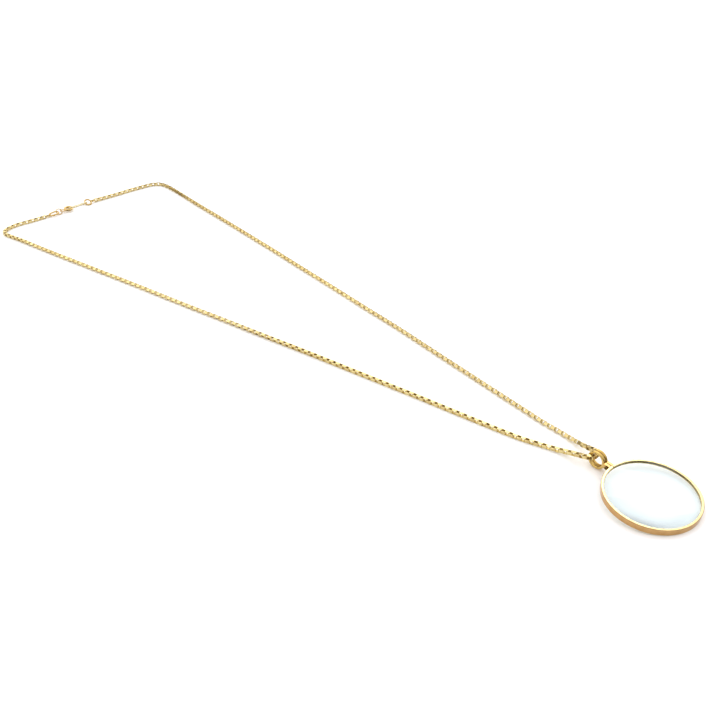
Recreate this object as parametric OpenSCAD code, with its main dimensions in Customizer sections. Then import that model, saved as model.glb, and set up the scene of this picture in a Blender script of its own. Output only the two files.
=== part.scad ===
// Magnifier pendant on a long necklace, laid out on a flat surface.
// A round glass lens sits in a split channel rim. The two ends of the rim are ears, each with a
// soldered wire ring, and a small screw draws them together. A fine chain runs through the twin
// rings and closes with a spring ring clasp. All sizes are in millimetres, with +Z up, +X from
// the clasp end towards the lens, and z = 0 on the surface that everything rests on.

/* [Lens] */
// Diameter of the glass lens
lens_d = 41.3; // [30:0.1:60]
// Thickness of the lens at its edge
lens_edge_t = 1.5; // [1:0.1:3]
// Radius of curvature of each face of the lens
lens_face_r = 131; // [90:1:400]
// Free space around the edge of the lens inside the rim
lens_gap = 0.1; // [0.05:0.05:0.3]

/* [Rim] */
// Wall of the rim outside the lens edge
rim_wall = 0.75; // [0.5:0.05:2]
// How far each lip of the rim reaches in over the lens
rim_cover = 0.45; // [0.3:0.05:1.5]
// Thickness of each lip
rim_lip_t = 0.6; // [0.4:0.05:1.2]
// Free space between a lip and the face of the lens
lip_gap = 0.15; // [0.1:0.05:0.3]
// Rounding of the outer corners of the rim
rim_round = 0.3; // [0.1:0.05:0.35]

/* [Bail] */
// Length of the ears between the rim and the twin rings
ear_len = 2.7; // [2.6:0.1:6]
// Width of each ear
ear_w = 1.4; // [1:0.1:2]
// Height of the ears
ear_h = 2.4; // [2:0.1:2.8]
// Width of the slit between the two ears
ear_slit = 0.4; // [0.2:0.05:0.8]
// Outer diameter of the twin rings
bail_d = 9; // [8.6:0.1:14]
// Wire diameter of the twin rings
bail_wire = 1.4; // [0.9:0.05:1.4]

/* [Closing screw] */
// Shank diameter of the closing screw
screw_d = 0.8; // [0.5:0.05:1]
// Free space around the shank
screw_gap = 0.05; // [0.03:0.01:0.1]
// Head diameter of the closing screw
screw_head_d = 1.5; // [1.2:0.1:1.8]
// Height of the screw head
screw_head_h = 0.5; // [0.3:0.05:0.8]
// Distance of the screw from the wall of the rim
screw_offset = 1.25; // [1.1:0.05:1.6]
// Width of the driver slot
screw_slot_w = 0.3; // [0.2:0.05:0.5]
// Depth of the driver slot
screw_slot_deep = 0.2; // [0.1:0.05:0.25]

/* [Chain] */
// Width of the chain across its flats
chain_w = 2.1; // [1.2:0.1:2.2]

/* [Clasp] */
// Middle diameter of the ring of the clasp
clasp_d = 5; // [4.6:0.1:6]
// Outer diameter of the tube that the clasp is bent from
clasp_tube = 1.5; // [1.4:0.05:1.6]
// Diameter of the bolt inside the tube
bolt_d = 0.8; // [0.6:0.05:0.9]
// Free space around the bolt
bolt_gap = 0.06; // [0.04:0.01:0.1]
// Angle of the open mouth of the clasp
mouth_angle = 50; // [40:1:52]
// How far the closed bolt reaches into the far side of the mouth, as an angle
bolt_engage = 8; // [5:1:12]
// Diameter of the thumb knob
knob_d = 0.6; // [0.4:0.05:0.7]
// How far the thumb knob stands out of the tube
knob_out = 0.6; // [0.4:0.05:1]
// Middle diameter of the eye on the clasp
eye_d = 2.9; // [2.5:0.1:4]
// Wire diameter of the eye
eye_wire = 0.6; // [0.5:0.05:0.8]

/* [End rings] */
// Outer length of the oval ring at the near end of the chain
near_ring_l = 7.2; // [7:0.1:10]
// Outer width of that ring
near_ring_w = 5.4; // [4.4:0.1:7]
// Wire diameter of that ring
near_ring_wire = 1; // [0.7:0.05:1.1]
// Outer diameter of the jump ring that joins it to the eye
jump_d = 4.6; // [4.3:0.1:5.2]
// Wire diameter of the jump ring
jump_wire = 0.6; // [0.5:0.05:0.75]
// Outer length of the oval ring that the clasp catches
catch_l = 15; // [12:0.1:16]
// Outer width of that ring
catch_w = 5; // [4.9:0.1:6]
// Wire diameter of that ring
catch_wire = 0.7; // [0.6:0.05:0.75]
// Outer diameter of the round ring at the far end of the chain
far_ring_d = 5.4; // [5:0.1:7]
// Wire diameter of that ring
far_ring_wire = 1; // [0.6:0.05:1]
// Slack between two linked rings, along the line of the clasp
ring_slack = 0.4; // [0.3:0.05:0.6]
// Free space where a piece crosses or ends beside the next one
link_gap = 0.15; // [0.05:0.05:0.2]

/* [Hidden] */
$fn = 72;

// Colours
polished_gold = "#e3b44c";
pale_gold = "#edcb78";
clear_glass = [0.86, 0.94, 0.97, 0.45];

// Rim and lens
lens_r = lens_d / 2;
groove_r = lens_r + lens_gap;
rim_r = groove_r + rim_wall;
rim_opening_r = lens_r - rim_cover;
rim_h = lens_edge_t + 2 * (lip_gap + rim_lip_t);
face_centre = sqrt(lens_face_r * lens_face_r - lens_r * lens_r) - lens_edge_t / 2;

// Twin rings, and how the pendant rests on them and on the far edge of the rim
bail_r = bail_d / 2;
bail_mean_r = bail_r - bail_wire / 2;
ear_mid = (ear_slit + ear_w) / 2;
lens_reach = rim_r + ear_len + bail_r;
edge_x = lens_reach + rim_r - rim_round;
edge_z = rim_h / 2 - rim_round;
rest_tilt = asin((bail_r - rim_round) / norm([edge_x, edge_z])) - atan2(edge_z, edge_x);

// Chain route: each row is x and y from the middle of the twin rings, and the height of the
// chain above the surface that it lies on. It starts at the near end ring.
clasp_start = [-394.4, -76.3];
clasp_turn = 5;
chain_route = [
    [-394.4, -76.3, 0], [-394.1, -83, 0], [-394.1, -90, 0], [-394.3, -96, 0], [-393.9, -100.5, 0],
    [-393, -103.6, 0], [-391.6, -106.6, 0], [-389.6, -108.9, 0], [-387, -109.9, 0],
    [-384, -109.7, 0], [-380, -108.4, 0], [-372, -106, 0], [-355, -101.4, 0], [-330, -94.4, 0],
    [-300, -85.8, 0], [-270, -77.2, 0], [-240, -69, 0], [-210, -60.4, 0], [-180, -52, 0],
    [-150, -43.3, 0], [-120, -35, 0], [-90, -26.8, 0], [-60, -19, 0], [-45, -15, 0],
    [-34, -11.8, 0], [-26, -8.6, 0], [-20, -6.2, 0.2], [-15, -4.6, 0.8], [-10.5, -3.6, 1.8],
    [-7, -3.3, 2.8], [-5, -3.3, 3.5], [-3.3, -3.1, 4], [-2, -2.3, 4.15], [-1.4, -0.9, 4.15],
    [-1.4, 0.9, 4.15], [-2, 2.3, 4.15], [-3.3, 3.1, 4.05], [-5, 3.4, 3.7], [-7.2, 3.6, 3],
    [-10, 4.3, 2], [-14, 5.2, 0.9], [-18, 5.6, 0.3], [-23, 5.9, 0], [-35, 5.5, 0],
    [-50, 5.9, 0], [-65, 6.3, 0], [-80, 6.8, 0], [-110, 7.8, 0], [-140, 8.9, 0],
    [-170, 9.2, 0], [-200, 9.7, 0], [-230, 10, 0], [-260, 10.4, 0], [-290, 10.5, 0],
    [-320, 10.5, 0], [-350, 10.3, 0], [-370, 10.5, 0], [-382, 10.4, 0], [-388, 10, 0],
    [-392, 9.3, 0], [-395, 7.6, 0], [-396.9, 5, 0], [-397.7, 2, 0], [-398, -3, 0],
    [-398.1, -9, 0], [-398.2, -15, 0], [-397.8, -22, 0], [-397.7, -28, 0], [-397.8, -33, 0],
    [-397.6, -38, 0.2]];

// Clasp and end rings, in a row from the near end of the chain. Each place is the middle of a
// piece, counted along the row from the end of the chain.
clasp_r = clasp_d / 2;
tube_r = clasp_tube / 2;
near_half_l = (near_ring_l - near_ring_wire) / 2;
near_half_w = (near_ring_w - near_ring_wire) / 2;
jump_r = (jump_d - jump_wire) / 2;
catch_half_l = (catch_l - catch_wire) / 2;
catch_half_w = (catch_w - catch_wire) / 2;
far_r = (far_ring_d - far_ring_wire) / 2;
eye_r = eye_d / 2;
catch_rise = tube_r + catch_wire / 2 + link_gap;
catch_lean = asin(catch_rise / catch_half_w);
clasp_z = catch_rise + catch_wire / 2;
jump_lean = asin((clasp_z - jump_wire / 2) / jump_r);
far_lean = asin((clasp_z - far_ring_wire / 2) / far_r);
chain_z = chain_w / 2;
near_rise = asin((clasp_z - chain_z) / (2 * near_half_l));
near_mid_y = link_gap + near_ring_wire / 2 + near_half_l * cos(near_rise);
jump_y = near_mid_y + near_half_l * cos(near_rise)
    + jump_r - (jump_wire + near_ring_wire) / 2 - ring_slack;
eye_sunk = 0.3 * eye_wire;
eye_offset = clasp_r + tube_r + eye_r + eye_wire / 2 - eye_sunk;
clasp_y = jump_y + jump_r - (jump_wire + eye_wire) / 2 - ring_slack + eye_r + eye_offset;
catch_cross = sqrt(clasp_r * clasp_r - pow(catch_half_w * cos(catch_lean), 2));
catch_y = clasp_y + catch_cross + catch_half_l - catch_half_w;
far_y = catch_y + catch_half_l + far_r - (far_ring_wire + catch_wire) / 2 - ring_slack;
far_chain_y = far_y + far_r + far_ring_wire / 2 + link_gap;

// Spring ring: the mouth, the bolt and the slot of its knob, as angles from +X
mouth_to = 78;
mouth_from = mouth_to - mouth_angle;
bolt_travel = mouth_angle + bolt_engage;
bolt_tip = mouth_to + bolt_engage;
bolt_tail = -40;
knob_behind_tip = 14;
knob_angle = mouth_from - knob_behind_tip;
knob_half_angle = asin(knob_d / 2 / (clasp_r + bolt_d / 2));
slot_end_gap = 1.5;
bore_end = -160;
bore_overrun = 1;
bore_spare = 3;

// The whole chain, with its far end at the far ring
whole_route = concat(chain_route, [[clasp_start[0] - far_chain_y * sin(clasp_turn),
                                    clasp_start[1] + far_chain_y * cos(clasp_turn),
                                    clasp_z - chain_z]]);

// The origin is the middle of the laid-out necklace, on the surface
far_ring_x = clasp_start[0] - far_y * sin(clasp_turn);
far_ring_half_x = far_r * sqrt(1 - pow(sin(far_lean) * cos(clasp_turn), 2)) + far_ring_wire / 2;
x_low = min(min([for (p = whole_route) p[0]]) - chain_w / 2, far_ring_x - far_ring_half_x);
x_high = edge_x * cos(rest_tilt) + edge_z * sin(rest_tilt) + rim_round;
y_low = min([for (p = whole_route) p[1]]) - chain_w / 2;
y_high = max(rim_r, max([for (p = whole_route) p[1]]) + chain_w / 2);
mid_x = (x_low + x_high) / 2;
mid_y = (y_low + y_high) / 2;

// Moves a piece from the middle of the twin rings to the origin of the part
module laid() {
    translate([-mid_x, -mid_y, 0]) children();
}

// Places a piece that is drawn about the middle of the lens
module on_pendant() {
    laid()
        translate([0, 0, bail_r])
            rotate([0, rest_tilt, 0])
                translate([lens_reach, 0, 0])
                    children();
}

// Square outline with rounded corners, centred
module rounded_square(size_x, size_y, round_r) {
    square([size_x, size_y - 2 * round_r], center = true);
    square([size_x - 2 * round_r, size_y], center = true);
    for (sx = [-1, 1], sy = [-1, 1])
        translate([sx * (size_x / 2 - round_r), sy * (size_y / 2 - round_r)])
            circle(r = round_r, $fn = 24);
}

// Round wire bent to a ring, flat about the origin
module wire_ring(mean_r, wire_d, turn = 360) {
    rotate_extrude(angle = turn)
        translate([mean_r, 0])
            circle(d = wire_d, $fn = 32);
}

// Round wire bent to an oval with straight sides, long along Y, flat about the origin
module oval_ring(half_l, half_w, wire_d) {
    straight = half_l - half_w;
    for (end = [0, 1])
        rotate([0, 0, 180 * end])
            translate([0, straight, 0])
                wire_ring(half_w, wire_d, 180);
    for (side = [-1, 1])
        translate([side * half_w, 0, 0])
            rotate([90, 0, 0])
                cylinder(d = wire_d, h = 2 * straight, center = true, $fn = 32);
}

// Section of the rim, with the groove that holds the lens
module rim_section() {
    width = rim_r - rim_opening_r;
    difference() {
        translate([rim_r - width / 2, 0])
            rounded_square(width, rim_h, rim_round);
        translate([0, -lens_edge_t / 2 - lip_gap])
            square([groove_r, lens_edge_t + 2 * lip_gap]);
    }
}

// One half of the bail: an ear with its wire ring, on the side +1 or -1
module bail_half(side) {
    ear_from = lens_reach - bail_mean_r - bail_wire / 4;
    ear_to = rim_r - rim_wall / 2;
    translate([0, side * ear_mid, 0]) {
        rotate([90, 0, 0])
            translate([-(ear_from + ear_to) / 2, 0, -ear_w / 2])
                linear_extrude(ear_w)
                    rounded_square(ear_from - ear_to, ear_h, rim_round);
        translate([-lens_reach, 0, 0])
            rotate([90, 0, 0])
                wire_ring(bail_mean_r, bail_wire);
    }
}

// Split channel rim with its two ears and the twin rings, soldered into one piece
module rim() {
    color(polished_gold) on_pendant()
        difference() {
            union() {
                rotate_extrude($fn = 180) rim_section();
                for (side = [-1, 1]) bail_half(side);
            }
            translate([-rim_r - ear_len / 2, -ear_slit / 2, -rim_h])
                cube([rim_wall + rim_cover + lens_gap + ear_len, ear_slit, 2 * rim_h]);
            translate([-rim_r - screw_offset, 0, 0])
                rotate([90, 0, 0])
                    cylinder(r = screw_d / 2 + screw_gap, h = 2 * (ear_slit + 2 * ear_w), center = true);
        }
}

// Slotted screw that draws the two ears together, with its head on the near side
module rim_screw() {
    head_y = -ear_slit / 2 - ear_w - screw_gap;
    color(polished_gold) on_pendant()
        translate([-rim_r - screw_offset, head_y, 0])
            difference() {
                union() {
                    rotate([-90, 0, 0]) cylinder(d = screw_d, h = ear_slit + 2 * ear_w + screw_gap);
                    rotate([90, 0, 0]) cylinder(d = screw_head_d, h = screw_head_h);
                }
                translate([-screw_head_d, screw_slot_deep - 2 * screw_head_h, -screw_slot_w / 2])
                    cube([2 * screw_head_d, screw_head_h, screw_slot_w]);
            }
}

// Lens with two domed faces and a flat edge
module lens() {
    color(clear_glass) on_pendant()
        intersection() {
            cylinder(r = lens_r, h = lens_d, center = true, $fn = 180);
            translate([0, 0, -face_centre]) sphere(r = lens_face_r, $fn = 180);
            translate([0, 0, face_centre]) sphere(r = lens_face_r, $fn = 180);
        }
}

// Sweep of an eight-sided tube along points: one ring at each point, in the plane that halves
// the bend, turned so that one flat faces down
function unit(v) = v / norm(v);
function heading(pts, i) =
    unit((i < len(pts) - 1 ? unit(pts[i + 1] - pts[i]) : [0, 0, 0])
         + (i > 0 ? unit(pts[i] - pts[i - 1]) : [0, 0, 0]));
function mitre(pts, i) =
    i == 0 || i == len(pts) - 1 ? 1 : 1 / (unit(pts[i + 1] - pts[i]) * heading(pts, i));
function tube_ring(pts, i, flat_r, sides) =
    let (ahead = heading(pts, i),
         across = unit(cross([0, 0, 1], ahead)),
         above = cross(ahead, across),
         corner_r = flat_r / cos(180 / sides))
    [for (k = [0 : sides - 1])
        let (a = (k + 0.5) * 360 / sides)
        pts[i] + corner_r * (cos(a) * mitre(pts, i) * across + sin(a) * above)];

module swept_tube(pts, flat_r, sides) {
    n = len(pts);
    side_faces = [for (i = [0 : n - 2], k = [0 : sides - 1])
        let (next = (k + 1) % sides)
        [i * sides + k, (i + 1) * sides + k, (i + 1) * sides + next, i * sides + next]];
    polyhedron(
        points = [for (i = [0 : n - 1]) each tube_ring(pts, i, flat_r, sides)],
        faces = concat([[for (k = [0 : sides - 1]) k]], side_faces,
                       [[for (k = [sides - 1 : -1 : 0]) (n - 1) * sides + k]]));
}

// The chain, as the plain form that its box links fill
module chain() {
    color(pale_gold) laid()
        swept_tube([for (p = whole_route) [p[0], p[1], p[2] + chain_z]], chain_w / 2, 8);
}

// Places a ring of the clasp end: y along the row, its middle at height z, leaning to one side
module on_clasp_line(y, z, lean = 0) {
    laid()
        translate([clasp_start[0], clasp_start[1], 0])
            rotate([0, 0, clasp_turn])
                translate([0, y, z])
                    rotate([0, lean, 0])
                        children();
}

// Oval ring that the near end of the chain is linked to
module near_end_ring() {
    color(polished_gold)
        on_clasp_line(near_mid_y, (chain_z + clasp_z) / 2)
            rotate([near_rise, 0, 0])
                oval_ring(near_half_l, near_half_w, near_ring_wire);
}

// Jump ring between the near end ring and the eye of the clasp
module jump_ring() {
    color(polished_gold) on_clasp_line(jump_y, clasp_z, jump_lean)
        wire_ring(jump_r, jump_wire);
}

// Spring ring clasp: a tube bent to a ring, open at its mouth, with a slot for the knob and an eye
module clasp_body() {
    shell_turn = 360 - mouth_angle;
    slot_from = knob_angle - bolt_travel - knob_half_angle - slot_end_gap;
    slot_turn = bolt_travel + 2 * (knob_half_angle + slot_end_gap);
    color(polished_gold) on_clasp_line(clasp_y, clasp_z)
        difference() {
            union() {
                rotate([0, 0, mouth_to]) wire_ring(clasp_r, clasp_tube, shell_turn);
                translate([0, -eye_offset, 0]) wire_ring(eye_r, eye_wire);
            }
            rotate([0, 0, bore_end])
                wire_ring(clasp_r, bolt_d + 2 * bolt_gap, mouth_from + bore_overrun - bore_end);
            rotate([0, 0, mouth_to - bore_overrun])
                wire_ring(clasp_r, bolt_d + 2 * bolt_gap, bolt_engage + bore_overrun + bore_spare);
            rotate([0, 0, slot_from])
                rotate_extrude(angle = slot_turn)
                    translate([clasp_r, -knob_d / 2 - bolt_gap])
                        square([clasp_tube, knob_d + 2 * bolt_gap]);
        }
}

// Sprung bolt that slides round inside the tube and closes the mouth, with its thumb knob
module clasp_bolt() {
    color(pale_gold) on_clasp_line(clasp_y, clasp_z) {
        rotate([0, 0, bolt_tail])
            wire_ring(clasp_r, bolt_d, bolt_tip - bolt_tail);
        rotate([0, 0, knob_angle])
            translate([clasp_r, 0, 0])
                rotate([0, 90, 0])
                    cylinder(d = knob_d, h = tube_r + knob_out, $fn = 32);
    }
}

// Thin oval ring that the clasp catches, leaning across the tube of the clasp
module catch_ring() {
    color(pale_gold) on_clasp_line(catch_y, clasp_z, -catch_lean)
        oval_ring(catch_half_l, catch_half_w, catch_wire);
}

// Round ring that the far end of the chain is linked to
module far_end_ring() {
    color(polished_gold) on_clasp_line(far_y, clasp_z, far_lean)
        wire_ring(far_r, far_ring_wire);
}

rim();
rim_screw();
lens();
chain();
near_end_ring();
jump_ring();
clasp_body();
clasp_bolt();
catch_ring();
far_end_ring();
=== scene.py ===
"""Looks of the magnifier pendant: polished gold plate, clear glass and a box chain.

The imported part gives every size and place. The plain tube that stands for the chain is replaced
by its separate links, and the other pieces keep their solids and get their finishes here.
"""

import logging
import math
from dataclasses import dataclass, field
from enum import Enum

import bmesh
import bpy
from mathutils import Matrix, Vector

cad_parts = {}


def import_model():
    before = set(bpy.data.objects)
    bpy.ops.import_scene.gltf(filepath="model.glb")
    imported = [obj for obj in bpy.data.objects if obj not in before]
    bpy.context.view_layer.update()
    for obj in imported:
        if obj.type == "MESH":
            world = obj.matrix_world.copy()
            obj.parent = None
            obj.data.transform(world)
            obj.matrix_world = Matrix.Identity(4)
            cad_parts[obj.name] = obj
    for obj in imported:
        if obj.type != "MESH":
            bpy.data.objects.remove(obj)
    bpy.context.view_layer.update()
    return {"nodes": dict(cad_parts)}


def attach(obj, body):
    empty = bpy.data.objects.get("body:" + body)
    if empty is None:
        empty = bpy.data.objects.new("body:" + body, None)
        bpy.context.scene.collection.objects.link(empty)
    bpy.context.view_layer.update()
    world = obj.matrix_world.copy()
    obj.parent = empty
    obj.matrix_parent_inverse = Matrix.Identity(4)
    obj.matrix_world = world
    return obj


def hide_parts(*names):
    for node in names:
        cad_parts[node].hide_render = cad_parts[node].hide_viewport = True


log = logging.getLogger("magnifier_pendant")

MM = 0.001

# A normal or an edge counts as running along Z where this much of its unit length does
ALONG_Z = 0.9

# The middle of the twin rings, on the surface, in the part's own frame
RINGS = Vector((174.611, 44.725, 0.0)) * MM

# The middle of the lens, in the part's own frame: the twin rings stand 28.7 mm to its left
LENS = RINGS + Vector((28.7, 0.0, 0.0)) * MM

# Chain route: x and y from the middle of the twin rings, and the height of the chain above the
# surface that it lies on, in millimetres. It is the tube's route in the part's source, with its
# turn through the twin rings moved out by up to 0.3 mm, so that the links' corners clear them,
# and the last point but one 0.05 mm lower, which eases the rise to the far end
CHAIN_ROUTE = (
    (-394.4, -76.3, 0), (-394.1, -83, 0), (-394.1, -90, 0), (-394.3, -96, 0), (-393.9, -100.5, 0),
    (-393, -103.6, 0), (-391.6, -106.6, 0), (-389.6, -108.9, 0), (-387, -109.9, 0),
    (-384, -109.7, 0), (-380, -108.4, 0), (-372, -106, 0), (-355, -101.4, 0), (-330, -94.4, 0),
    (-300, -85.8, 0), (-270, -77.2, 0), (-240, -69, 0), (-210, -60.4, 0), (-180, -52, 0),
    (-150, -43.3, 0), (-120, -35, 0), (-90, -26.8, 0), (-60, -19, 0), (-45, -15, 0),
    (-34, -11.8, 0), (-26, -8.6, 0), (-20, -6.2, 0.2), (-15, -4.6, 0.8), (-10.5, -3.6, 1.8),
    (-7, -3.3, 2.8), (-5, -3.3, 3.5), (-3.3, -3.1, 4), (-2, -2.3, 4.15), (-1.4, -0.9, 4.15),
    (-1.35, 0.95, 4.15), (-1.8, 2.45, 4.15), (-3.15, 3.35, 4.05), (-5, 3.6, 3.7), (-7.2, 3.7, 3),
    (-10, 4.3, 2), (-14, 5.2, 0.9), (-18, 5.6, 0.3), (-23, 5.9, 0), (-35, 5.5, 0),
    (-50, 5.9, 0), (-65, 6.3, 0), (-80, 6.8, 0), (-110, 7.8, 0), (-140, 8.9, 0),
    (-170, 9.2, 0), (-200, 9.7, 0), (-230, 10, 0), (-260, 10.4, 0), (-290, 10.5, 0),
    (-320, 10.5, 0), (-350, 10.3, 0), (-370, 10.5, 0), (-382, 10.4, 0), (-388, 10, 0),
    (-392, 9.3, 0), (-395, 7.6, 0), (-396.9, 5, 0), (-397.7, 2, 0), (-398, -3, 0),
    (-398.1, -9, 0), (-398.2, -15, 0), (-397.8, -22, 0), (-397.7, -28, 0), (-397.8, -33, 0),
    (-397.6, -38, 0.15), (-397.244, -43.793, 0.55),
)


class End(Enum):
    """Ends of the chain."""

    NEAR = "near"
    FAR = "far"


def linear(hex_colour: str) -> tuple[float, float, float, float]:
    """Turns an sRGB hex colour into linear red, green, blue and alpha.

    Args:
        hex_colour: Six hex digits after a hash sign.

    Returns:
        The colour as Blender's sockets take it.
    """
    parts = [int(hex_colour[i:i + 2], 16) / 255 for i in (1, 3, 5)]
    r, g, b = (c / 12.92 if c <= 0.04045 else ((c + 0.055) / 1.055) ** 2.4 for c in parts)
    return (r, g, b, 1.0)


def add_node(tree: bpy.types.NodeTree, kind: str, settings: dict | None = None,
             inputs: dict | None = None, stops: tuple[tuple[float, str], ...] = ()) -> bpy.types.Node:
    """Adds a shader node with its settings, its values and its links.

    Args:
        tree: The node tree of the material or world.
        kind: The node's type name.
        settings: Attributes of the node.
        inputs: Values by socket name or number; an output socket is linked instead.
        stops: A colour ramp's positions and sRGB hex colours, in order.

    Returns:
        The new node.
    """
    node = tree.nodes.new(kind)
    for key, value in (settings or {}).items():
        setattr(node, key, value)
    for key, value in (inputs or {}).items():
        if isinstance(value, bpy.types.NodeSocket):
            tree.links.new(value, node.inputs[key])
        else:
            node.inputs[key].default_value = value
    # A ramp has its first and its last stop from the start
    for position, _ in stops[1:-1]:
        node.color_ramp.elements.new(position)
    for i, (position, colour) in enumerate(stops):
        node.color_ramp.elements[i].position = position
        node.color_ramp.elements[i].color = linear(colour)
    return node


def new_material(name: str) -> tuple[bpy.types.Material, bpy.types.NodeTree, bpy.types.NodeSocket]:
    """Makes a node material that has its coordinates and nothing else.

    Args:
        name: The material's name.

    Returns:
        The material, its node tree and the object's own coordinates.
    """
    material = bpy.data.materials.new(name)
    material.use_nodes = True
    material.node_tree.nodes.clear()
    where = add_node(material.node_tree, "ShaderNodeTexCoord").outputs["Object"]
    return material, material.node_tree, where


@dataclass(frozen=True)
class GoldPlate:
    """Gold plated on polished brass: a mirror-like yellow metal with faint wear.

    The plating is buffed by hand, so its gloss changes softly over a few millimetres, and fine
    hairlines from wear show where the light grazes it. Real hairlines are about a hundredth of a
    millimetre wide, too fine to show, so they are drawn about ten times as wide.

    Attributes:
        name: The material's name.
        colour: Colour of the fresh plating.
        worn_colour: Colour where the plating is worn.
        roughness: Roughness of the fresh plating.
        worn_roughness: Roughness where it is worn.
        cloud_mm: Size of the worn patches.
        cloud_detail: Finer layers in the worn patches.
        tint_span: Values of the patches between which the worn colour turns into the fresh one.
        gloss_span: Values of the patches between which the worn gloss turns into the fresh one.
        hairline_mm: Width of a hairline as it is drawn.
        hairline_detail: Finer layers in the hairlines.
        hairline_depth_mm: Depth of a hairline.
        hairline_strength: How strongly the hairlines show, from 0 to 1.
        grain_turn: How the hairlines lie, as turns about X, Y and Z in radians.
        grain_fineness: How much finer the hairlines are along each of the turned axes.
        zones: Colours that multiply the plating outwards from the lens, at shares of zone_mm, which
        paint highlight and shade on the rim.
        zone_mm: Distances from the middle of the lens where the zones start and end.
    """

    name: str
    colour: str
    worn_colour: str
    roughness: float = 0.12
    worn_roughness: float = 0.24
    cloud_mm: float = 2.4
    cloud_detail: float = 3.0
    tint_span: tuple[float, float] = (0.35, 0.6)
    gloss_span: tuple[float, float] = (0.3, 0.7)
    hairline_mm: float = 0.12
    hairline_detail: float = 4.0
    hairline_depth_mm: float = 0.0016
    hairline_strength: float = 0.35
    grain_turn: tuple[float, float, float] = (0.3, 0.2, 0.6)
    grain_fineness: tuple[float, float, float] = (1.0, 6.0, 2.5)
    zones: tuple[tuple[float, str], ...] = ()
    zone_mm: tuple[float, float] = (21.0, 25.0)

    def zoned(self, tree: bpy.types.NodeTree, where: bpy.types.NodeSocket,
              plating: bpy.types.NodeSocket) -> bpy.types.NodeSocket:
        """Changes the plating with the distance from the middle of the lens.

        The lip around the glass is painted palest as a painted highlight, the outer wall darker and
        redder as painted shade, and the twin rings keep the full colour.

        Args:
            tree: The material's node tree.
            where: Object coordinates.
            plating: Colour of the plating without its zones.

        Returns:
            The colour with its zones.
        """
        start, end = self.zone_mm
        level = add_node(tree, "ShaderNodeVectorMath", {"operation": "MULTIPLY"},
                         {0: where, 1: (1.0, 1.0, 0.0)})
        away = add_node(tree, "ShaderNodeVectorMath", {"operation": "DISTANCE"},
                        {0: level.outputs["Vector"], 1: LENS})
        across = add_node(tree, "ShaderNodeMapRange",
                          inputs={"Value": away.outputs["Value"], "From Min": start * MM,
                                  "From Max": end * MM})
        # The ramp paints a highlight on the lip and shade on the outer wall
        zone = add_node(tree, "ShaderNodeValToRGB", inputs={"Fac": across.outputs["Result"]},
                        stops=self.zones)

        # A colour mix has its two colours on inputs 6 and 7 and its result on output 2
        mixed = add_node(tree, "ShaderNodeMix", {"data_type": "RGBA", "blend_type": "MULTIPLY"},
                         {"Factor": 1.0, 6: plating, 7: zone.outputs["Color"]})
        return mixed.outputs[2]

    def scratched(self, tree: bpy.types.NodeTree,
                  where: bpy.types.NodeSocket) -> bpy.types.NodeSocket:
        """Tilts the surface with noise that is drawn out into fine lines.

        Args:
            tree: The material's node tree.
            where: Object coordinates.

        Returns:
            The tilted normal.
        """
        stretched = add_node(tree, "ShaderNodeMapping",
                             inputs={"Vector": where, "Rotation": self.grain_turn,
                                     "Scale": self.grain_fineness})
        longest_mm = self.hairline_mm * max(self.grain_fineness)
        hairs = add_node(tree, "ShaderNodeTexNoise", {"noise_dimensions": "3D"},
                         {"Vector": stretched.outputs["Vector"], "Scale": 1 / (longest_mm * MM),
                          "Detail": self.hairline_detail})
        bump = add_node(tree, "ShaderNodeBump",
                        inputs={"Height": hairs.outputs["Fac"], "Strength": self.hairline_strength,
                                "Distance": self.hairline_depth_mm * MM})
        return bump.outputs["Normal"]

    def make(self) -> bpy.types.Material:
        """Builds the material.

        Returns:
            The material.
        """
        material, tree, where = new_material(self.name)
        clouds = add_node(tree, "ShaderNodeTexNoise", {"noise_dimensions": "3D"},
                          {"Vector": where, "Scale": 1 / (self.cloud_mm * MM),
                           "Detail": self.cloud_detail}).outputs["Fac"]
        worn_end, fresh_end = self.tint_span
        tint = add_node(tree, "ShaderNodeValToRGB", inputs={"Fac": clouds},
                        stops=((worn_end, self.worn_colour), (fresh_end, self.colour)))
        colour = tint.outputs["Color"]
        if self.zones:
            colour = self.zoned(tree, where, colour)
        dull_end, bright_end = self.gloss_span
        gloss = add_node(tree, "ShaderNodeMapRange",
                         inputs={"Value": clouds, "From Min": dull_end, "From Max": bright_end,
                                 "To Min": self.worn_roughness, "To Max": self.roughness})
        shader = add_node(tree, "ShaderNodeBsdfPrincipled",
                          inputs={"Base Color": colour, "Metallic": 1.0,
                                  "Roughness": gloss.outputs["Result"],
                                  "Normal": self.scratched(tree, where)})
        add_node(tree, "ShaderNodeOutputMaterial", inputs={"Surface": shader.outputs["BSDF"]})
        return material


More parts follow.
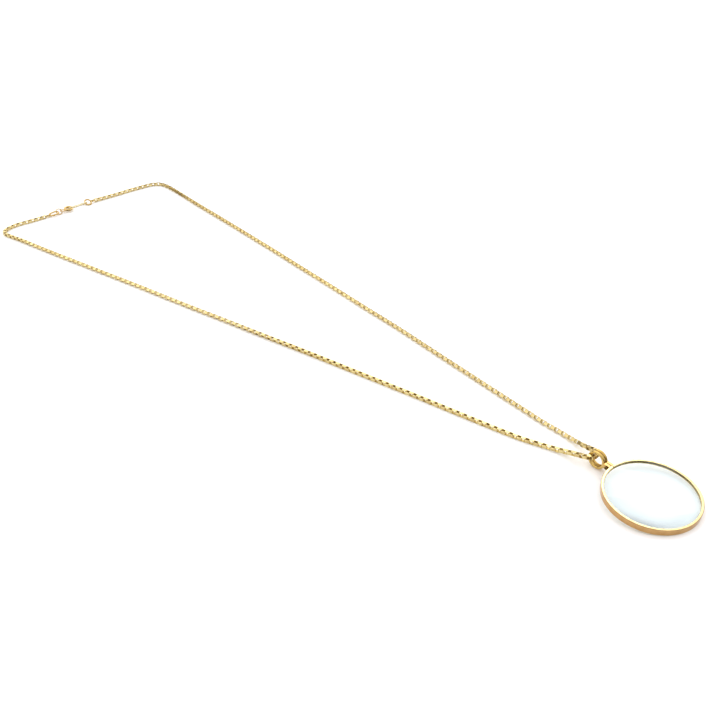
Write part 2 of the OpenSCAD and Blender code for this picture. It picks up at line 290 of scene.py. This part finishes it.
@dataclass(frozen=True)
class LensGlass:
    """Crown glass, ground and polished: clear, with sharp reflections and a faint cool tint.

    Dust is far too fine to show, so it is drawn as broad patches that are a little less sharp.

    Attributes:
        name: The material's name.
        colour: Colour that the light takes on as it goes through a face.
        ior: Index of refraction.
        roughness: Roughness of the clean glass.
        dusty_roughness: Roughness where fine dust lies on it.
        dust_mm: Size of the dusty patches as they are drawn.
        dust_detail: Finer layers in the dusty patches.
        dust_span: Values of the patches between which the clean glass turns dusty.
    """

    name: str = "polished_crown_glass"
    colour: str = "#f5fbfc"
    ior: float = 1.52
    roughness: float = 0.004
    dusty_roughness: float = 0.008
    dust_mm: float = 16.667
    dust_detail: float = 3.0
    dust_span: tuple[float, float] = (0.5, 0.9)

    def make(self) -> bpy.types.Material:
        """Builds the material.

        Returns:
            The material.
        """
        material, tree, where = new_material(self.name)
        dust = add_node(tree, "ShaderNodeTexNoise", {"noise_dimensions": "3D"},
                        {"Vector": where, "Scale": 1 / (self.dust_mm * MM),
                         "Detail": self.dust_detail})
        clean_end, dusty_end = self.dust_span
        haze = add_node(tree, "ShaderNodeMapRange",
                        inputs={"Value": dust.outputs["Fac"], "From Min": clean_end,
                                "From Max": dusty_end, "To Min": self.roughness,
                                "To Max": self.dusty_roughness})
        shader = add_node(tree, "ShaderNodeBsdfPrincipled",
                          inputs={"Base Color": linear(self.colour), "IOR": self.ior,
                                  "Roughness": haze.outputs["Result"], "Transmission Weight": 1.0})
        add_node(tree, "ShaderNodeOutputMaterial", inputs={"Surface": shader.outputs["BSDF"]})
        return material


@dataclass(frozen=True)
class WhiteSweep:
    """Matt white paper that the necklace lies on: pressed smooth, so it shows no gloss or grain.

    Its fibres are too fine to show, so they are drawn about a millimetre wide and very shallow.

    Attributes:
        name: The material's name.
        colour: Colour of the paper.
        roughness: Roughness of the paper.
        fibre_mm: Size of the paper's fibres as they are drawn.
        fibre_detail: Finer layers in the fibres.
        fibre_depth_mm: Depth of the fibres.
        fibre_strength: How strongly they show, from 0 to 1.
    """

    name: str = "white_paper_sweep"
    colour: str = "#f6f6f7"
    roughness: float = 0.6
    fibre_mm: float = 1.111
    fibre_detail: float = 2.0
    fibre_depth_mm: float = 0.05
    fibre_strength: float = 0.05

    def make(self) -> bpy.types.Material:
        """Builds the material.

        Returns:
            The material.
        """
        material, tree, where = new_material(self.name)
        fibre = add_node(tree, "ShaderNodeTexNoise", {"noise_dimensions": "3D"},
                         {"Vector": where, "Scale": 1 / (self.fibre_mm * MM),
                          "Detail": self.fibre_detail})
        bump = add_node(tree, "ShaderNodeBump",
                        inputs={"Height": fibre.outputs["Fac"], "Strength": self.fibre_strength,
                                "Distance": self.fibre_depth_mm * MM})
        shader = add_node(tree, "ShaderNodeBsdfPrincipled",
                          inputs={"Base Color": linear(self.colour), "Roughness": self.roughness,
                                  "Normal": bump.outputs["Normal"]})
        add_node(tree, "ShaderNodeOutputMaterial", inputs={"Surface": shader.outputs["BSDF"]})
        return material


def finish_object(bm: bmesh.types.BMesh, name: str, body: str,
                  materials: tuple[bpy.types.Material, ...]) -> bpy.types.Object:
    """Turns a bmesh into a piece that rides on a body of the part.

    Args:
        bm: The finished shape, in the part's frame. It is freed here.
        name: The piece's name.
        body: The body that it moves with.
        materials: Its materials, in the order that its faces number them.

    Returns:
        The new object.
    """
    mesh = bpy.data.meshes.new(name)
    bm.to_mesh(mesh)
    bm.free()
    for material in materials:
        mesh.materials.append(material)
    piece = bpy.data.objects.new(name, mesh)
    bpy.context.scene.collection.objects.link(piece)
    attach(piece, body)
    log.info("%s: %d faces", name, len(mesh.polygons))
    return piece


def dress_node(node: bpy.types.Object, material: bpy.types.Material) -> None:
    """Puts a material on one of the part's own solids.

    Args:
        node: The solid.
        material: Its finish.
    """
    node.data.materials.clear()
    node.data.materials.append(material)
    log.info("%s: %s", node.name, material.name)


@dataclass
class SmoothPath:
    """Smooth curve through the chain's route points, read by the length along it.

    Attributes:
        points: The route points, in metres.
        steps: Samples between two route points.
        samples: Points of the curve.
        lengths: Length along the curve at each sample.
    """

    points: list[Vector]
    steps: int = 16
    samples: list[Vector] = field(default_factory=list)
    lengths: list[float] = field(default_factory=list)

    def __post_init__(self) -> None:
        """Samples the curve and adds up its length."""
        first, last = 2 * self.points[0] - self.points[1], 2 * self.points[-1] - self.points[-2]
        pts = [first, *self.points, last]
        for i in range(1, len(pts) - 2):
            for k in range(self.steps):
                self.samples.append(self.between(pts[i - 1:i + 3], k / self.steps))
        self.samples.append(pts[-2].copy())

        # The curve may swing a little below its points, and the chain may not sink
        lowest = min(p.z for p in self.points)
        for sample in self.samples:
            sample.z = max(sample.z, lowest)

        total = 0.0
        self.lengths.append(total)
        for a, b in zip(self.samples, self.samples[1:]):
            total += (b - a).length
            self.lengths.append(total)

    def between(self, pts: list[Vector], share: float) -> Vector:
        """Finds a point between the middle two of four points, on the curve that they shape.

        Its steps grow with the square root of the distances, so that it doesn't loop at a corner.

        Args:
            pts: Four points in a row.
            share: How far along, from 0 to 1.

        Returns:
            The point.
        """
        knots = [0.0]
        for a, b in zip(pts, pts[1:]):
            knots.append(knots[-1] + math.sqrt((b - a).length))
        t0, t1, t2, t3 = knots
        t = t1 + (t2 - t1) * share
        a1 = pts[0].lerp(pts[1], (t - t0) / (t1 - t0))
        a2 = pts[1].lerp(pts[2], (t - t1) / (t2 - t1))
        a3 = pts[2].lerp(pts[3], (t - t2) / (t3 - t2))
        b1 = a1.lerp(a2, (t - t0) / (t2 - t0))
        b2 = a2.lerp(a3, (t - t1) / (t3 - t1))
        return b1.lerp(b2, (t - t1) / (t2 - t1))

    def length(self) -> float:
        """Gives the length of the whole curve in metres."""
        return self.lengths[-1]

    def at(self, distance: float) -> Vector:
        """Finds the point at a distance along the curve, carried on straight past its ends.

        Args:
            distance: Distance from the start, in metres.

        Returns:
            The point.
        """
        low, high = 0, len(self.lengths) - 1
        while high - low > 1:
            middle = (low + high) // 2
            if self.lengths[middle] <= distance:
                low = middle
            else:
                high = middle
        span = self.lengths[high] - self.lengths[low]
        return self.samples[low].lerp(self.samples[high], (distance - self.lengths[low]) / span)

    def frame(self, start: float, end: float, level: bool = False) -> Matrix:
        """Makes the place of a link: X along the curve, Z as near upright as it goes.

        Args:
            start: Distance along the curve where the link begins.
            end: Distance where it ends.
            level: Whether it lies level at the height of the curve's nearer end, not in its slope.

        Returns:
            The matrix that sets the link there.
        """
        a, b = self.at(start), self.at(end)
        if level:
            a.z = b.z = self.points[0 if end < self.length() / 2 else -1].z
        ahead = (b - a).normalized()
        across = Vector((0, 0, 1)).cross(ahead).normalized()
        above = ahead.cross(across)
        turn = Matrix((ahead, across, above)).transposed().to_4x4()
        return Matrix.Translation((a + b) / 2) @ turn


@dataclass(frozen=True)
class EndRing:
    """Ring that a wire loop ties an end of the chain to.

    Attributes:
        end: The end of the chain.
        wire_mm: The ring's wire.
        lean_deg: How far the ring leans about the chain's line.
    """

    end: End
    wire_mm: float
    lean_deg: float


@dataclass
class BoxChain:
    """Box chain: square links of flat strip, each turned a quarter from the one before it.

    Each link is a band of flat strip bent into a box that is open on two sides. Its end walls sit
    inside the boxes before and after it, so the chain looks square with an opening every other
    link. A small wire loop ties each end to the oval or round ring there.

    Attributes:
        width_mm: Width of the chain.
        pitch_mm: Length of chain that a link takes up. It is evened out over the whole route.
        strip_mm: Thickness of the strip.
        strip_width_mm: Width of the strip.
        edge_mm: How far the flats along the strip's edges cut in.
        corner_mm: How far the flats across a link's corners cut in.
        end_gap_mm: Gap between an end of the route and the first or last link.
        end_link_share: Width of the strip of the first and last link, as a share of the others'.
        loop_wire_mm: Wire of the end loops.
        loop_gap_mm: Gap between a loop's wire and what it holds.
        loop_sides: Sides of a loop's wire.
        loop_steps: Steps round a loop, an even number.
        loop_reach_mm: How far before and behind its middle a loop reads the chain's direction.
        end_rings: The rings that the loops hold.
        ring_gap_mm: Gap between an end of the route and the ring's wire.
        turns: How the chain lies, flat, on its edge or between the two: distances along it in mm
            and its turn about its own line there, in degrees.
        body: The part's body that it rides on.
        slot: Name of a slot for its finish. It is not used.
        path: The path that it follows.
    """

    width_mm: float = 2.1
    pitch_mm: float = 2.03
    strip_mm: float = 0.3
    strip_width_mm: float = 1.48
    edge_mm: float = 0.07
    corner_mm: float = 0.3
    end_gap_mm: float = 0.06
    end_link_share: float = 0.5
    loop_wire_mm: float = 0.3
    loop_gap_mm: float = 0.05
    loop_sides: int = 8
    loop_steps: int = 16
    loop_reach_mm: float = 0.1
    end_rings: tuple[EndRing, ...] = (EndRing(End.NEAR, 1.0, 0.0), EndRing(End.FAR, 1.0, -30.0))
    ring_gap_mm: float = 0.15
    turns: tuple[tuple[float, float], ...] = (
        (44, 0), (70, 45), (200, 45), (315, 0), (446, 0), (457, 36), (560, 36), (650, 40), (715, 40),
        (796, 36), (806, 31), (818, 20), (845, 4), (868, 0))
    body: str = "necklace"
    slot: str = "pale_gold"
    path: SmoothPath = field(init=False)

    def __post_init__(self) -> None:
        """Lays the path of the chain through its route."""
        rise = Vector((0, 0, self.width_mm / 2))
        self.path = SmoothPath([RINGS + (Vector(p) + rise) * MM for p in CHAIN_ROUTE])

    def link_mesh(self) -> bpy.types.Mesh:
        """Makes one link about the origin: a square band, long along X, open along Z.

        Returns:
            The link's mesh. Its inner walls have the second material, which is darker as painted
            shade.
        """
        bm = bmesh.new()
        bmesh.ops.create_cube(bm, size=1.0)
        length = self.pitch_mm + 2 * self.strip_mm
        bmesh.ops.scale(bm, verts=bm.verts,
                        vec=(length * MM, self.width_mm * MM, self.strip_width_mm * MM))

        # The box gets its opening: its top and bottom are cut out and joined by inner walls
        caps = [f for f in bm.faces if abs(f.normal.z) > ALONG_Z]
        bmesh.ops.inset_individual(bm, faces=caps, thickness=self.strip_mm * MM,
                                   use_even_offset=True)
        mouths = [edge for cap in caps for edge in cap.edges]
        bmesh.ops.delete(bm, geom=caps, context="FACES_ONLY")
        bmesh.ops.bridge_loops(bm, edges=mouths)
        bmesh.ops.recalc_face_normals(bm, faces=bm.faces)

        # Its four outer corners are cut off, and then the edges of the strip
        middle_of_strip = (self.width_mm - self.strip_mm) / 2 * MM
        corners = [e for e in bm.edges
                   if abs((e.verts[0].co - e.verts[1].co).normalized().z) > ALONG_Z
                   and abs(e.verts[0].co.y) > middle_of_strip]
        bmesh.ops.bevel(bm, geom=corners, offset=self.corner_mm * MM, affect="EDGES",
                        segments=1, profile=0.5, material=-1)
        edges = [e for e in bm.edges
                 if sorted(abs(f.normal.z) > ALONG_Z for f in e.link_faces) == [False, True]]
        bevelled = bmesh.ops.bevel(bm, geom=edges, offset=self.edge_mm * MM, affect="EDGES",
                                   segments=1, profile=0.5, material=-1)
        for face in bevelled["faces"]:
            face.smooth = True

        # An inner wall looks back at the middle of the link, and takes the second material, which
        # paints shade inside the link
        for face in bm.faces:
            middle = face.calc_center_median()
            if middle.xy.dot(face.normal.xy) < -self.edge_mm * MM:
                face.material_index = 1
        mesh = bpy.data.meshes.new("box_link")
        bm.to_mesh(mesh)
        bm.free()
        return mesh

    def loop_mesh(self, wire_mm: float) -> tuple[bpy.types.Mesh, float]:
        """Makes the wire loop that ties a chain's end link to its ring, upright along X.

        Args:
            wire_mm: Wire of the ring that it holds.

        Returns:
            The loop's mesh about its own middle, and how far in mm the middle lies beyond the
            chain's end.
        """
        loop_r = self.loop_wire_mm / 2
        bend = wire_mm / 2 + self.loop_gap_mm + loop_r
        outside = self.ring_gap_mm + wire_mm + self.loop_gap_mm + loop_r
        inside = self.end_gap_mm + self.strip_mm + self.loop_gap_mm + loop_r
        straight = (outside + inside) / 2 - bend
        bm = bmesh.new()

        # The wire starts half a step from the top, so that no step stands where the two halves part
        half_step = Matrix.Rotation(math.pi / self.loop_steps, 4, "Y")
        start = half_step @ Matrix.Translation((0, 0, bend * MM))
        bmesh.ops.create_circle(bm, segments=self.loop_sides, radius=loop_r * MM,
                                matrix=start @ Matrix.Rotation(math.radians(90), 4, "Y"))
        bmesh.ops.spin(bm, geom=bm.verts[:] + bm.edges[:], cent=(0, 0, 0), axis=(0, 1, 0),
                       dvec=(0, 0, 0), angle=math.tau, steps=self.loop_steps, use_merge=True)
        bmesh.ops.recalc_face_normals(bm, faces=bm.faces)
        for vert in bm.verts:
            vert.co.x += math.copysign(straight * MM, vert.co.x)
        for face in bm.faces:
            face.smooth = True
        mesh = bpy.data.meshes.new("end_loop")
        bm.to_mesh(mesh)
        bm.free()
        return mesh, (outside - inside) / 2

    def twist(self, distance_mm: float) -> float:
        """Finds how far the chain is turned about its own line, eased between the places in turns.

        Args:
            distance_mm: Distance along the chain.

        Returns:
            The turn in radians.
        """
        for (start, before), (end, after) in zip(self.turns, self.turns[1:]):
            if distance_mm < end:
                share = max((distance_mm - start) / (end - start), 0.0)
                return math.radians(before + (after - before) * share * share * (3 - 2 * share))
        return math.radians(self.turns[-1][1])

    def lift(self, turn: float) -> float:
        """Finds how much higher the chain's middle lies when the chain is turned.

        Args:
            turn: The chain's turn about its own line, in radians.

        Returns:
            The lift in metres.
        """
        c, s = abs(math.cos(turn)), abs(math.sin(turn))
        half, half_strip = self.width_mm / 2, self.strip_width_mm / 2
        reach = max(half * c + half_strip * s, half * s + half_strip * c)
        return (reach - half) * MM

    def add_copy(self, bm: bmesh.types.BMesh, mesh: bpy.types.Mesh, place: Matrix) -> None:
        """Adds a copy of a mesh to the chain.

        Args:
            bm: The chain's bmesh.
            mesh: A link or a loop.
            place: Where it goes.
        """
        before = len(bm.verts)
        bm.from_mesh(mesh)
        bm.verts.ensure_lookup_table()
        bmesh.ops.transform(bm, matrix=place, verts=bm.verts[before:])

    def add_links(self, bm: bmesh.types.BMesh) -> None:
        """Adds the links along the whole path, an odd number, so that both ends lie the same way.

        Args:
            bm: The chain's bmesh.
        """
        link = self.link_mesh()
        end_mm = self.end_gap_mm + self.strip_mm
        usable_mm = self.path.length() / MM - 2 * end_mm
        count = round(usable_mm / self.pitch_mm)
        count += 1 - count % 2
        pitch_mm = usable_mm / count
        half = (pitch_mm / 2 + self.strip_mm) * MM
        quarter = Matrix.Rotation(math.radians(90), 4, "X")
        slim = Matrix.Diagonal((1, 1, self.end_link_share, 1))
        for i in range(count):
            middle = (end_mm + (i + 0.5) * pitch_mm) * MM
            turn = self.twist(middle / MM)
            place = self.path.frame(middle - half, middle + half)
            place = Matrix.Translation((0, 0, self.lift(turn))) @ place @ Matrix.Rotation(turn, 4, "X")
            if i % 2:
                place = place @ quarter
            if i in (0, count - 1):
                place = place @ slim
            self.add_copy(bm, link, place)
        log.info("box chain: %d links of %.3f mm", count, pitch_mm)

    def add_loops(self, bm: bmesh.types.BMesh) -> None:
        """Adds the wire loop at each end, which leans with its ring.

        Args:
            bm: The chain's bmesh.
        """
        reach = self.loop_reach_mm * MM
        for ring in self.end_rings:
            loop, beyond_mm = self.loop_mesh(ring.wire_mm)
            middle = -beyond_mm * MM if ring.end is End.NEAR else self.path.length() + beyond_mm * MM
            place = self.path.frame(middle - reach, middle + reach, level=True)
            self.add_copy(bm, loop, place @ Matrix.Rotation(math.radians(ring.lean_deg), 4, "X"))

    def make(self, plate: bpy.types.Material, recess: bpy.types.Material) -> None:
        """Builds the whole chain as one piece in place of the plain tube.

        Args:
            plate: The chain's finish outside.
            recess: The finish inside its links: duller where no polishing wheel reaches, and darker as
            painted shade.
        """
        bm = bmesh.new()
        self.add_links(bm)
        self.add_loops(bm)
        chain = finish_object(bm, "box_chain", self.body, (plate, recess))
        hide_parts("chain")


@dataclass
class Pendant:
    """Rim with its twin rings, closing screw and lens: the part's own solids with their finishes.

    Attributes:
        band: Finish of the rim, with a painted highlight on its lip and painted shade on its outer
        wall.
        dark: Finish of the screw, painted dark as the shade in the gap under the ears.
        glass: Finish of the lens.
    """

    band: bpy.types.Material
    dark: bpy.types.Material
    glass: bpy.types.Material

    def dress(self, nodes: dict[str, bpy.types.Object]) -> None:
        """Gives the pendant's solids their finishes.

        Args:
            nodes: The part's solids by name.
        """
        dress_node(nodes["rim"], self.band)
        dress_node(nodes["rim_screw"], self.dark)
        dress_node(nodes["lens"], self.glass)


@dataclass
class ClaspRow:
    """Spring ring clasp and the four rings that join it to the chain.

    Attributes:
        gold: Finish of the clasp and of three of the rings.
        pale: Finish of the bolt and of the ring that the clasp catches.
    """

    gold: bpy.types.Material
    pale: bpy.types.Material

    def dress(self, nodes: dict[str, bpy.types.Object]) -> None:
        """Gives the clasp and its rings their finishes.

        Args:
            nodes: The part's solids by name.
        """
        for name in ("near_end_ring", "jump_ring", "clasp_body", "far_end_ring"):
            dress_node(nodes[name], self.gold)
        for name in ("clasp_bolt", "catch_ring"):
            dress_node(nodes[name], self.pale)


@dataclass
class PhotoCamera:
    """Camera at the photograph's viewing angle, from a fit to the necklace's own proportions.

    Attributes:
        focal_px: Focal length, in pixels of the photograph.
        frame_px: Width of the photograph in pixels.
        sensor_mm: Width of the camera's sensor.
        near_clip_m: Nearest distance that it shows.
        pitch_deg: How far it looks down.
        roll_deg: How far it is tilted about its own line of sight.
        height_mm: Its height above the surface.
        foot_mm: The point of the surface under it, from the middle of the twin rings.
        heading_deg: The direction that it looks in, from X towards Y.
    """

    focal_px: float = 938.455
    frame_px: int = 713
    sensor_mm: float = 36.0
    near_clip_m: float = 0.01
    pitch_deg: float = 33.49
    roll_deg: float = 0.706
    height_mm: float = 270.448
    foot_mm: tuple[float, float] = (175.66, -290.58)
    heading_deg: float = 139.585

    def make(self) -> None:
        """Adds the camera and makes it the scene's own."""
        heading, pitch = math.radians(self.heading_deg), math.radians(self.pitch_deg)
        away = Vector((math.cos(heading), math.sin(heading), 0))
        right = Vector((math.sin(heading), -math.cos(heading), 0))
        forward = away * math.cos(pitch) - Vector((0, 0, math.sin(pitch)))
        up = right.cross(forward)
        turn = Matrix((right, up, -forward)).transposed().to_4x4()
        turn = turn @ Matrix.Rotation(math.radians(self.roll_deg), 4, "Z")
        place = RINGS + Vector((*self.foot_mm, self.height_mm)) * MM
        data = bpy.data.cameras.new("photo_camera")
        data.sensor_width = self.sensor_mm
        data.lens = self.focal_px * self.sensor_mm / self.frame_px
        data.clip_start = self.near_clip_m
        camera = bpy.data.objects.new("photo_camera", data)
        camera.matrix_world = Matrix.Translation(place) @ turn
        bpy.context.scene.collection.objects.link(camera)
        bpy.context.scene.camera = camera


@dataclass
class Studio:
    """White sweep under a soft dome: bright overhead and behind, dim at table height.

    Polished metal shows what surrounds it, so the dim band gives the gold its dark lines.

    Attributes:
        floor_m: Width of the sweep.
        brightness: Brightness of the dome.
        bands: Colours of the dome from table height, at 0, to straight overhead, at 1.
        toward: Direction of the dome's brighter side.
        side_span: Values between which the dome goes from its dimmer to its brighter side: 1 is
            the brighter side's own direction and -1 is the opposite one.
        near_share: Brightness of the dimmer side, beside the dome's.
        far_share: Brightness of the brighter side, beside the dome's.
        backdrop: Colour that the camera sees past the sweep.
        box_place_m: Where the soft box hangs.
        box_size_m: Width and height of the soft box.
        box_watts: Power of the soft box.
    """

    floor_m: float = 12.0
    brightness: float = 1.68
    bands: tuple[tuple[float, str], ...] = (
        (0.0, "#4a4036"), (0.15, "#5c5248"), (0.36, "#e4e1de"), (0.54, "#ffffff"), (1.0, "#dcdde0"))
    toward: tuple[float, float, float] = (-0.86, 0.38, 0.34)
    side_span: tuple[float, float] = (-0.8, 0.9)
    near_share: float = 0.55
    far_share: float = 1.3
    backdrop: str = "#ffffff"
    box_place_m: tuple[float, float, float] = (-0.9, 1.7, 1.75)
    box_size_m: tuple[float, float] = (0.9, 0.9)
    box_watts: float = 3.0

    def add_floor(self) -> None:
        """Lays the paper sweep under the necklace."""
        bm = bmesh.new()
        bmesh.ops.create_grid(bm, x_segments=2, y_segments=2, size=self.floor_m / 2)
        mesh = bpy.data.meshes.new("paper_sweep")
        bm.to_mesh(mesh)
        bm.free()
        mesh.materials.append(WhiteSweep().make())
        floor = bpy.data.objects.new("paper_sweep", mesh)
        bpy.context.scene.collection.objects.link(floor)

    def add_dome(self) -> None:
        """Surrounds the scene with a dome that is brighter overhead and on the far left.

        The metal and the glass see the dome. The camera itself sees a plain white backdrop there.
        """
        world = bpy.data.worlds.new("studio_dome")
        world.use_nodes = True
        tree = world.node_tree
        tree.nodes.clear()
        direction = add_node(tree, "ShaderNodeTexCoord").outputs["Generated"]
        parts = add_node(tree, "ShaderNodeSeparateXYZ", inputs={"Vector": direction})
        band = add_node(tree, "ShaderNodeValToRGB", inputs={"Fac": parts.outputs["Z"]},
                        stops=self.bands)
        side = add_node(tree, "ShaderNodeVectorMath", {"operation": "DOT_PRODUCT"},
                        {0: direction, 1: self.toward})
        near_end, far_end = self.side_span
        share = add_node(tree, "ShaderNodeMapRange", {"interpolation_type": "SMOOTHSTEP"},
                         {"Value": side.outputs["Value"], "From Min": near_end, "From Max": far_end,
                          "To Min": self.near_share * self.brightness,
                          "To Max": self.far_share * self.brightness})
        dome = add_node(tree, "ShaderNodeBackground",
                        inputs={"Color": band.outputs["Color"], "Strength": share.outputs["Result"]})
        plain = add_node(tree, "ShaderNodeBackground", inputs={"Color": linear(self.backdrop)})
        ray = add_node(tree, "ShaderNodeLightPath")
        seen = add_node(tree, "ShaderNodeMixShader",
                        inputs={0: ray.outputs["Is Camera Ray"], 1: dome.outputs["Background"],
                                2: plain.outputs["Background"]})
        add_node(tree, "ShaderNodeOutputWorld", inputs={"Surface": seen.outputs["Shader"]})
        bpy.context.scene.world = world

    def add_softbox(self) -> None:
        """Hangs a square soft box that faces the necklace from behind."""
        data = bpy.data.lights.new("far_box", "AREA")
        data.shape = "RECTANGLE"
        data.size, data.size_y = self.box_size_m
        data.energy = self.box_watts
        light = bpy.data.objects.new("far_box", data)
        light.location = self.box_place_m
        light.rotation_euler = (-light.location).to_track_quat("-Z", "Y").to_euler()
        bpy.context.scene.collection.objects.link(light)

    def make(self) -> None:
        """Adds the floor, the dome and the soft box, and shows colours as they are."""
        self.add_floor()
        self.add_dome()
        self.add_softbox()
        scene = bpy.context.scene
        scene.view_settings.view_transform = "Standard"
        scene.view_settings.look = "None"

        # The lights in the gold stay as sharp as its polish makes them
        scene.cycles.blur_glossy = 0.0


def main() -> None:
    """Builds the camera, the studio and each sub-assembly in turn."""
    logging.basicConfig(level=logging.INFO, format="%(message)s")
    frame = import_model()
    nodes = frame["nodes"]
    PhotoCamera().make()

    # Rim: brass strip rolled to a channel, plated and buffed on a wheel. That gives sharp dark and
    # light lines. Outwards, the zones are a painted highlight on the lip, painted shade that makes the
    # outer wall darker and redder, and the twin rings' own colour
    band = GoldPlate("buffed_gold_plate_with_painted_light", "#f3f3f3", "#e4dfd7", roughness=0.08,
                     worn_roughness=0.18, zones=((0.04, "#f0dca4"), (0.1, "#cfa670"),
                                                 (0.5, "#cfa670"), (0.9, "#dfbf74"))).make()

    # Clasp and end rings: brass tube and wire, drawn through a die and plated. That gives a smooth,
    # even yellow with bright lines along each bend
    gold = GoldPlate("drawn_gold_plate", "#d1b372", "#be9a5b").make()

    # Chain: brass links, plated after they are closed and then tumbled. That gives a paler yellow
    # and softer lights than a buffed face
    pale = GoldPlate("tumbled_gold_plate", "#dbc88e", "#c8af76", roughness=0.16,
                     worn_roughness=0.28).make()

    # Bolt with its knob and catch ring: paler plating. That gives the lightest metal of the clasp
    bright = GoldPlate("pale_clasp_gold_plate", "#e4d9b6", "#d7c698").make()

    # Inside of a link: plating that no wheel or tumbling stone reaches, so it is rougher. Its darker
    # colour is painted shade. That gives the dark marks along the chain
    recess = GoldPlate("unpolished_gold_recess_with_painted_shade", "#bea76a", "#988348", roughness=0.3,
                       worn_roughness=0.4).make()

    # Closing screw: turned brass, with its colour painted dark brown as shade. That gives the
    # brown spot in the gap between the ears
    dark = GoldPlate("brass_with_painted_gap_shade", "#836e3c", "#64532d", roughness=0.3,
                     worn_roughness=0.45).make()

    # Lens: crown glass, ground round and polished on both faces. That gives a clear, cool white
    # over the sweep
    glass = LensGlass().make()

    BoxChain().make(pale, recess)
    Pendant(band, dark, glass).dress(nodes)
    ClaspRow(gold, bright).dress(nodes)
    Studio().make()


if __name__ == "__main__":
    main()
